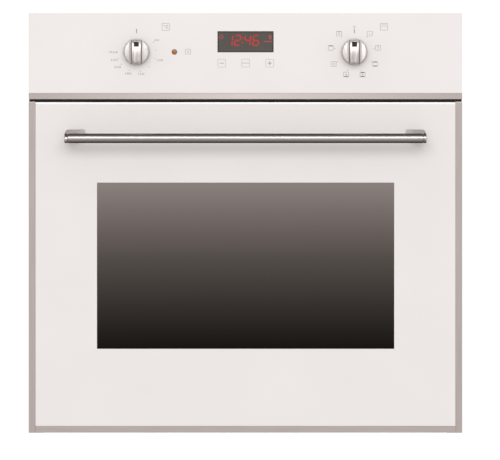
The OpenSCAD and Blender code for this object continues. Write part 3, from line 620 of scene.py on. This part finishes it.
with Shaping(arm) as work:
    work.edges(lambda c, d: abs(d.y) > 0.9 and near(c.z, FOOT_HI.z) and near(c.x, FOOT_HI.x))
    bpy.ops.mesh.bevel(offset=5 * MM, segments=8, affect="EDGES")
    work.edges(lambda c, d: abs(d.y) > 0.9 and near(c.z, FOOT_HI.z) and near(c.x, FOOT_LO.x))
    bpy.ops.mesh.bevel(offset=2 * MM, segments=5, affect="EDGES")
    work.edges(lambda c, d: abs(d.y) > 0.9 and near(c.z, FOOT_LO.z))
    bpy.ops.mesh.bevel(offset=3 * MM, segments=5, affect="EDGES")
    work.faces(lambda c, n: n.y < -0.9)
    for step in range(STEPS):
        wide, high = slimness(step / STEPS)
        next_wide, next_high = slimness((step + 1) / STEPS)
        bpy.ops.mesh.extrude_region_move(TRANSFORM_OT_translate={"value": (0, FORWARD, 0)})
        bpy.ops.transform.resize(value=(next_wide / wide, 1, next_high / high),
                                 center_override=ARM_TIP)
soften(arm, 0.5 * MM, 3, 40)
right_bracket = join([arm, cap], "handle_bracket_cast_right")
left_bracket = twin(right_bracket, "handle_bracket_cast_left", Matrix.Scale(-1, 4, (1, 0, 0)))
fit(tube, "door", "handle_metal", "handle_tube")
fit(right_bracket, "door", "handle_metal", "handle_bracket_right")
fit(left_bracket, "door", "handle_metal", "handle_bracket_left")


# ---- dials ----

KNOB_FRONT = right_dial_lo.y
KNOB_BACK = right_dial_hi.y
# Half the width of the raised bar, and the groove at each side of it
BAR = 12.2 * MM / 2
GROOVE = 1.5 * MM
GROOVE_DEPTH = 6 * MM
# Radius of the crown, radius and depth of the hollow in each cheek
CROWN = 48 * MM
SCOOP = 13 * MM
DROP = 2.4 * MM
# The insert's pocket: half its width, its height over the dial's middle, and its depth
POCKET = 3.5 * MM
POCKET_Z = 10.4 * MM
POCKET_DEPTH = 3.5 * MM
# Half the size of a cutter that must reach past the whole dial
CLEAR = 30 * MM

# the front is a shallow crown, then a round edge and a slightly tapered skirt
profile = [(r * MM, KNOB_FRONT + (r * MM) ** 2 / (2 * CROWN)) for r in (0, 2, 4, 6, 8, 10, 12, 14.6)]
profile += [(DIAL_R - 2.4 * MM, KNOB_FRONT + 3.0 * MM), (DIAL_R - 1.6 * MM, KNOB_FRONT + 4.2 * MM),
            (DIAL_R - 1.2 * MM, KNOB_FRONT + 6 * MM), (DIAL_R - 0.7 * MM, KNOB_BACK - 6 * MM),
            (DIAL_R, KNOB_BACK - 1.2 * MM), (DIAL_R, KNOB_BACK), (0, KNOB_BACK)]


def turned(name, points, middle, steps=96):
    """Spin a profile of (radius, y) points round an axis that runs along Y."""
    put_down()
    bpy.ops.mesh.primitive_plane_add(size=MM, location=(middle[0] + points[0][0], points[0][1], middle[2]))
    piece = settle(bpy.context.object)
    piece.name = name
    with Shaping(piece) as work:
        work.everything()
        bpy.ops.mesh.merge(type="CENTER")
        for (r0, y0), (r1, y1) in zip(points, points[1:]):
            bpy.ops.mesh.extrude_region_move(TRANSFORM_OT_translate={"value": (r1 - r0, y1 - y0, 0)})
        work.everything()
        bpy.ops.mesh.spin(steps=steps, angle=2 * math.pi, center=middle, axis=(0, 1, 0))
        work.everything()
        bpy.ops.mesh.remove_doubles(threshold=0.005 * MM)
        bpy.ops.mesh.normals_make_consistent(inside=False)
    return piece


def make_dial(name, x):
    middle = (x, 0, DIAL_Z)
    knob = dress(turned(name, profile, middle), satin_dial, dial_rim, dial_groove)
    cutters = []
    for side in (-1, 1):
        inner, outer = x + side * BAR, x + side * (BAR + GROOVE)
        lo, hi = min(inner, outer), max(inner, outer)
        cutters.append(block("groove", (lo, KNOB_FRONT - MM, DIAL_Z - CLEAR),
                             (hi, KNOB_FRONT + GROOVE_DEPTH, DIAL_Z + CLEAR)))
        # the cheek beside each groove is scooped out, inside a rim that stays
        cheek = disc("cheek", DIAL_R - 1.7 * MM, (x, KNOB_FRONT - MM, DIAL_Z), MM + DROP + 3 * MM, sides=96)
        put_down()
        bpy.ops.mesh.primitive_cylinder_add(
            vertices=96, radius=SCOOP, depth=60 * MM,
            location=(x + side * (BAR + GROOVE + 4.3 * MM), KNOB_FRONT + DROP + 0.9 * MM - SCOOP, DIAL_Z))
        keep_common(cheek, settle(bpy.context.object))
        beyond = x - side * CLEAR
        keep_out = block("keep", (min(beyond, outer), KNOB_FRONT - 20 * MM, DIAL_Z - CLEAR),
                         (max(beyond, outer), KNOB_FRONT + 12 * MM, DIAL_Z + CLEAR))
        cutters.append(drill(cheek, [keep_out]))
    cutters.append(block("pocket", (x - POCKET, KNOB_FRONT - MM, DIAL_Z + POCKET_Z - POCKET),
                         (x + POCKET, KNOB_FRONT + POCKET_DEPTH, DIAL_Z + POCKET_Z + POCKET)))
    drill(knob, cutters)
    with Shaping(knob) as work:
        work.faces(lambda c, n: math.hypot(c.x - x, c.z - DIAL_Z) > DIAL_R - (
            3.2 * MM if abs(c.x - x) > BAR else 1.9 * MM))
        work.paint(1)
        # the groove walls take the darker grey of the painted shadow
        work.faces(lambda c, n: BAR - 0.01 * MM <= abs(c.x - x) <= BAR + GROOVE
                   and c.y > KNOB_FRONT + 0.6 * MM)
        work.paint(2)
    return soften(knob, 0.45 * MM, 3, 35, flat=False)


def make_insert(name, x):
    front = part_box("thermostat_pointer")[0].y
    half = POCKET - 0.1 * MM
    mid = DIAL_Z + POCKET_Z
    back = KNOB_FRONT + POCKET_DEPTH - 0.1 * MM
    piece = dress(block(name, (x - half, front, mid - half), (x + half, back, mid + half)), gloss_black)
    with Shaping(piece) as work:
        work.edges(lambda c, d: abs(d.y) > 0.9)
        bpy.ops.mesh.bevel(offset=0.8 * MM, segments=5, affect="EDGES")
    return soften(piece, 0.2 * MM, 2)


left_dial = make_dial("thermostat_dial_cap", -DIAL_X)
left_insert = make_insert("thermostat_dial_insert", -DIAL_X)
to_right = Matrix.Translation((2 * DIAL_X, 0, 0))
right_dial = twin(left_dial, "function_dial_cap", to_right)
right_insert = twin(left_insert, "function_dial_insert", to_right)
fit(left_dial, "thermostat_dial", "dial_plastic", "thermostat_knob")
fit(left_insert, "thermostat_dial", "black_plastic", "thermostat_pointer")
fit(right_dial, "function_dial", "dial_plastic", "function_knob")
fit(right_insert, "function_dial", "black_plastic", "function_pointer")


# ---- pilot lamp ----

# a low dome, a ring-shaped dip round it, a rim and a straight barrel through the glass
lens_profile = [(0, FACE - 0.6 * MM), (1.6 * MM, FACE - 0.56 * MM), (2.8 * MM, FACE - 0.4 * MM),
                (3.0 * MM, FACE - 0.15 * MM), (LENS_R, FACE - 0.5 * MM), (LENS_R, FACE + GLASS_T),
                (0, FACE + GLASS_T)]
lens = turned("pilot_lens", lens_profile, (PILOT_X, 0, DIAL_Z), 48)
soften(dress(lens, amber_lens), 0.12 * MM, 2)
holder = disc("pilot_holder", 6 * MM, (PILOT_X, FACE + GLASS_T, DIAL_Z), lamp_hi.y - FACE - GLASS_T)
with Shaping(holder) as work:
    work.faces(lambda c, n: n.y > 0.9)
    bpy.ops.mesh.inset(thickness=1.5 * MM)
    bpy.ops.mesh.extrude_region_move(TRANSFORM_OT_translate={"value": (0, -4 * MM, 0)})
soften(dress(holder, amber_lens), 0.3 * MM, 2)
fit(join([lens, holder], "pilot_lamp_moulded"), "oven", "lamp_orange", "pilot_lamp")


# ---- print on the glass ----

INK = 0.05 * MM
LINE = 0.45 * MM
DOT_R = 0.6 * MM
# Radii of the dots and the symbols round the dials, in millimetres
SCALE_DOTS, FUNCTION_DOTS, SYMBOLS = 26.9, 27.0, 32.9
NUMERAL_H = 2.8 * MM
KEY_SIGN = 0.9 * MM


def bar(x0, z0, x1, z1, width):
    """One printed stroke between two places on the glass."""
    put_down()
    run = Vector((x1 - x0, 0, z1 - z0))
    middle = ((x0 + x1) / 2, FACE - INK / 2, (z0 + z1) / 2)
    bpy.ops.mesh.primitive_cube_add(size=1, location=middle, scale=(run.length, INK, width),
                                    rotation=(0, -math.atan2(run.z, run.x), 0))
    return settle(bpy.context.object)


def outline(x, z, w, h, line, corner):
    """A printed frame with round corners."""
    piece = block("frame", (x - w / 2, FACE - INK, z - h / 2), (x + w / 2, FACE, z + h / 2))
    with Shaping(piece) as work:
        work.edges(lambda c, d: abs(d.y) > 0.9)
        bpy.ops.mesh.bevel(offset=corner, segments=4, affect="EDGES")
        work.faces(lambda c, n: abs(n.y) > 0.9)
        bpy.ops.mesh.inset(thickness=line)
        bpy.ops.mesh.delete(type="FACE")
        work.edges(lambda c, d: abs(c.x - x) < w / 2 - line * 0.5 and abs(c.z - z) < h / 2 - line * 0.5
                   and abs(d.y) < 0.1)
        bpy.ops.mesh.bridge_edge_loops()
    return piece


def dot(x, z, radius):
    return disc("dot", radius, (x, FACE - INK, z), INK, sides=12)


def words(text, x, z, height, widen=1.0):
    """Small printed figures, made into a thin plate."""
    put_down()
    bpy.ops.object.text_add(location=(0, 0, 0), rotation=(math.pi / 2, 0, 0))
    label = bpy.context.object
    label.data.body = text
    label.data.size = height * 1.4
    label.data.align_x = "CENTER"
    label.data.align_y = "CENTER"
    label.data.extrude = INK / 2
    label.data.space_character = 1.15
    label.data.resolution_u = 3
    label.scale = (widen, 1, 1)
    bpy.ops.object.convert(target="MESH")
    label = settle(bpy.context.object)
    label.data.transform(Matrix.Translation((x, FACE - INK / 2, z)))
    return label


def polar(x, angle, radius):
    """A place round a dial, clockwise from the top."""
    a = math.radians(angle)
    return x + radius * MM * math.sin(a), DIAL_Z + radius * MM * math.cos(a)


marks = []
stronger = []
for x in (-DIAL_X, DIAL_X):
    marks.append(bar(x, DIAL_Z + 25.7 * MM, x, DIAL_Z + 31.8 * MM, 1.1 * MM))
marks.append(outline(DIAL_X, DIAL_Z + 34.6 * MM, 2.6 * MM, 2.6 * MM, 0.5 * MM, 1.0 * MM))

# Each mark on the temperature scale: its angle, and the radius and text of its label
SCALE = ((59.7, 32.1, "50"), (84.6, None, None), (109.8, 33.7, "100"), (140.7, None, None),
         (169.0, 30.8, "150"), (201.7, 32.0, "180"), (231.3, 33.4, "200"), (250.4, 32.9, "220"),
         (269.1, 31.9, "MAX"))
for angle, radius, label in SCALE:
    marks.append(dot(*polar(-DIAL_X, angle, SCALE_DOTS), DOT_R))
    if label:
        # the figures are set wide, the letters a little less so
        widen = 1.5 if label.isdigit() else 1.25
        marks.append(words(label, *polar(-DIAL_X, angle, radius), NUMERAL_H, widen))

ICON = 7.5 * MM


def icon(x, z, strokes, size=ICON, thick=0.9 * MM):
    """A framed function symbol; strokes are (x0, z0, x1, z1, heavy) from -1 to 1 inside the frame."""
    marks.append(outline(x, z, size, size * 0.92, LINE, 0.8 * MM))
    half = size / 2 - 1.2 * MM
    for x0, z0, x1, z1, heavy in strokes:
        group = stronger if heavy else marks
        group.append(bar(x + x0 * half, z + z0 * half, x + x1 * half, z + z1 * half,
                         thick if heavy else LINE))


FAN = [(-0.45, -0.45, 0.45, 0.45, False), (-0.45, 0.45, 0.45, -0.45, False)]
TOP = [(-1, 1, 1, 1, True)]
BOTTOM = [(-1, -1, 1, -1, True)]
ICONS = (
    (40, [(0, 0.5, 0, -0.1, False), (-0.35, -0.4, 0.35, -0.4, False)]),
    (80, [(0.1, -0.6, 0.1, 0.6, False), (-0.4, 0.6, 0.6, 0.6, False)]),
    (120, TOP + BOTTOM), (160, TOP + BOTTOM + FAN), (200, BOTTOM + FAN), (240, FAN),
    (280, TOP), (320, [(-1, 1, 1, 1, False)] + FAN))
for angle, strokes in ICONS:
    marks.append(dot(*polar(DIAL_X, angle, FUNCTION_DOTS), DOT_R))
    icon(*polar(DIAL_X, angle, SYMBOLS), strokes)

icon(190.2 * MM, panel_hi.z - 18.7 * MM,
     [(-1, 0.2, 1, 0.2, False), (-0.8, 0.75, -0.4, 0.75, False), (-0.2, 0.75, 0.2, 0.75, False),
      (0.4, 0.75, 0.8, 0.75, False)], 10.5 * MM)
marks.append(outline(-109.2 * MM, panel_hi.z - 19 * MM, 10.8 * MM, 10.2 * MM, LINE, 1.2 * MM))
stronger.append(words("°C", -109.2 * MM, panel_hi.z - 19 * MM, 4.4 * MM))
icon(-79 * MM, DIAL_Z + 0.6 * MM, [(-0.5, 0, 0.5, 0.55, False), (-0.5, 0, 0.5, -0.55, False)], 7.9 * MM)

KEY = 11.5 * MM
LESS, SET, MORE = (-32.5 * MM, 0.15 * MM, 33.35 * MM)
frames = [outline(x, KEY_Z, KEY, KEY, 0.7 * MM, 1.5 * MM) for x in (LESS, SET, MORE)]
marks.append(bar(LESS - 2.9 * MM, KEY_Z, LESS + 2.9 * MM, KEY_Z, KEY_SIGN))
marks.append(bar(MORE - 2.75 * MM, KEY_Z, MORE + 2.75 * MM, KEY_Z, KEY_SIGN))
marks.append(bar(MORE, KEY_Z - 2.75 * MM, MORE, KEY_Z + 2.75 * MM, KEY_SIGN))
# the word on the middle key stands as three plain dashes
for x in (-3.2, 0, 3.2):
    frames.append(bar(SET + (x - 1.2) * MM, KEY_Z, SET + (x + 1.2) * MM, KEY_Z, 1.4 * MM))
for group, name, ink in ((marks, "dial_print_fine", grey_ink), (stronger, "dial_print_heavy", dark_ink),
                         (frames, "key_print_pale", pale_ink)):
    fit(dress(join(group, name), ink), "oven", "black_plastic")


# ---- lit figures ----

GAP = 0.1 * MM
DIGIT_H = 13.4 * MM
DIGIT_W = 7.4 * MM
STROKE = 1.4 * MM
DIGIT_Z = panel_hi.z - 37.5 * MM
SEGMENTS = {
    "a": (0, 1, 1, 1), "b": (1, 0.5, 1, 1), "c": (1, 0, 1, 0.5), "d": (0, 0, 1, 0),
    "e": (0, 0, 0, 0.5), "f": (0, 0.5, 0, 1), "g": (0, 0.5, 1, 0.5)}
SHOWN = {"1": "bc", "2": "abged", "4": "fgbc", "6": "afgedc"}
SLANT = 0.115

# thin plates on the face of the pane, each stroke on its own
lit = []
for digit, x in (("1", -25.3), ("2", -14.4), ("4", -0.7), ("6", 10.7)):
    for key in SHOWN[digit]:
        ax, az, bx, bz = SEGMENTS[key]
        across = bx - ax
        up = bz - az
        gap = GAP + STROKE / 2
        x0 = x * MM + ax * DIGIT_W + (gap if across else 0)
        x1 = x * MM + bx * DIGIT_W - (gap if across else 0)
        z0 = DIGIT_Z - DIGIT_H / 2 + az * DIGIT_H + (gap * 0.6 if up else 0)
        z1 = DIGIT_Z - DIGIT_H / 2 + bz * DIGIT_H - (gap * 0.6 if up else 0)
        lit.append(bar(x0, z0, x1, z1, STROKE))
for z in (-2.9, 3.3):
    lit.append(dot(-3.9 * MM, DIGIT_Z + z * MM, 0.75 * MM))
figures = join(lit, "clock_figures")
rise = Matrix.Translation((0, 0, DIGIT_Z))
figures.data.transform(rise @ Matrix.Shear("XY", 4, (SLANT, 0)) @ rise.inverted())
signs = []
# half a bell, drawn twice
BELL_X, BELL_Z = -33.3, DIGIT_Z / MM + 5.1
HALF_BELL = ((0, 2.7, 1.7, 0.8), (1.7, 0.8, 2.7, -0.9), (2.7, -0.9, 0.9, -2.4), (0, -2.4, 1.1, -2.4))
for side in (-1, 1):
    for x0, z0, x1, z1 in HALF_BELL:
        signs.append(bar((BELL_X + side * x0) * MM, (BELL_Z + z0) * MM,
                         (BELL_X + side * x1) * MM, (BELL_Z + z1) * MM, 0.75 * MM))
# a pot under its lid, as rows of light
POT_X, POT_Z = 33.9, DIGIT_Z / MM + 4.0
for wide, z in ((2.2, 2.6), (1.7, 1.4), (1.7, 0.3), (1.7, -0.8), (1.7, -1.9)):
    level = (POT_Z + z) * MM
    signs.append(bar((POT_X - wide) * MM, level, (POT_X + wide) * MM, level, 0.8 * MM))
# a word under the pot stands as four plain dashes
WORD_Z = DIGIT_Z - 1.4 * MM
for x0, x1 in ((25.2, 27.0), (27.6, 29.6), (30.1, 32.6), (33.0, 36.0)):
    signs.append(bar(x0 * MM, WORD_Z, x1 * MM, WORD_Z, 1.2 * MM))
fit(dress(figures, led_red), "oven", "lamp_orange")
fit(dress(join(signs, "clock_signs"), dim_red), "oven", "lamp_orange")


# ---- stand, floor, light and camera ----

paper = surface("matt_white_paper", "FBFBFA", "F6F6F5", (0.8, 0.9), 60, Emission_Color=linear("FFFFFE"),
                Emission_Strength=1.0, Specular_IOR_Level=0.1)
rails_lo, rails_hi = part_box("base_panel")
FLOOR_Z = -120 * MM
plinth = dress(block("plinth", (rails_lo.x + 20 * MM, rails_lo.y + 30 * MM, FLOOR_Z),
                     (rails_hi.x - 20 * MM, rails_hi.y, 0.0)), paper)
soften(plinth, 2 * MM, 2)
# a low lip at the board's front edge covers the ends of the runners
lip_board = block("plinth_lip", (rails_lo.x, rails_lo.y - 2.5 * MM, FLOOR_Z),
                  (rails_hi.x, rails_lo.y - 0.5 * MM, 1.9 * MM))
dress(lip_board, paper)
put_down()
bpy.ops.mesh.primitive_plane_add(size=5, location=(0, 0, FLOOR_Z))
floor = settle(bpy.context.object)
floor.name = "floor"
dress(floor, paper)
for card in (plinth, lip_board, floor):
    card.visible_diffuse = False
    card.visible_glossy = False


def lamp(name, size, power, place, aim, colour="FFFFFF"):
    data = bpy.data.lights.new(name, "AREA")
    data.shape = "RECTANGLE"
    data.size, data.size_y = size
    data.energy = power
    data.color = linear(colour)[:3]
    made = bpy.data.objects.new(name, data)
    bpy.context.scene.collection.objects.link(made)
    made.location = place
    made.rotation_euler = (Vector(aim) - Vector(place)).to_track_quat("-Z", "Y").to_euler()
    return made


# a wide soft light from the front above, and a weak one at each side
lamp("key", (7.0, 3.9), 330, (0, FACE - 9.0, 3.55), (0, FACE, 0.29))
for side in (-1, 1):
    lamp("side_fill", (0.8, 1.6), 3.5, (side * 2.6, FACE - 1.5, 0.4), (0, FACE, 0.3))

# mirrors see light bands, the camera sees white, and everything else gets a plain fill
world = bpy.data.worlds.new("studio")
bpy.context.scene.world = world
world.use_nodes = True
tree = world.node_tree
tree.nodes.clear()
rays = add(tree, "ShaderNodeLightPath")
heading = add(tree, "ShaderNodeTexCoord")
axes = add(tree, "ShaderNodeSeparateXYZ", links={0: (heading, "Generated")})
tilt = add(tree, "ShaderNodeMapRange", {"From Min": -1.0, "From Max": 1.0}, {"Value": (axes, 2)})
bands = add(tree, "ShaderNodeValToRGB", links={0: (tilt, 0)})
# What polished pieces mirror, from straight down (0) to straight up (1): height and brightness
BANDS = [(0.0, 0.20), (0.04, 0.30), (0.12, 0.36), (0.28, 0.56), (0.42, 0.66), (0.56, 0.62), (0.75, 0.56),
         (0.85, 0.28), (0.95, 0.24), (1.0, 0.11)]
while len(bands.color_ramp.elements) < len(BANDS):
    bands.color_ramp.elements.new(0.5)
for stop, (position, level) in zip(bands.color_ramp.elements, BANDS):
    stop.position = position
    stop.color = (level, level * 0.955, level * 0.935, 1)
glossy = add(tree, "ShaderNodeBackground", {"Strength": 1.0}, {"Color": (bands, 0)})
plain = add(tree, "ShaderNodeBackground", {"Color": linear("FFFEFC"), "Strength": 0.79})
backdrop = add(tree, "ShaderNodeBackground", {"Color": linear("FFFFFE"), "Strength": 1.05})
mixed = add(tree, "ShaderNodeMixShader", links={0: (rays, "Is Glossy Ray"), 1: (plain, 0), 2: (glossy, 0)})
seen = add(tree, "ShaderNodeMixShader", links={0: (rays, "Is Camera Ray"), 1: (mixed, 0), 2: (backdrop, 0)})
add(tree, "ShaderNodeOutputWorld", links={"Surface": (seen, 0)})
bpy.context.scene.view_settings.view_transform = "Standard"

# A long lens, far off, so that the front shows without convergence
CAMERA_X, CAMERA_Z, DISTANCE = 0.00625, 0.2803, 12
camera_data = bpy.data.cameras.new("camera")
camera_data.lens = 629.5
camera_data.sensor_width = 36
camera = bpy.data.objects.new("camera", camera_data)
bpy.context.scene.collection.objects.link(camera)
camera.location = (CAMERA_X, FACE - DISTANCE, CAMERA_Z)
camera.rotation_euler = (math.pi / 2, 0, 0)
bpy.context.scene.camera = camera
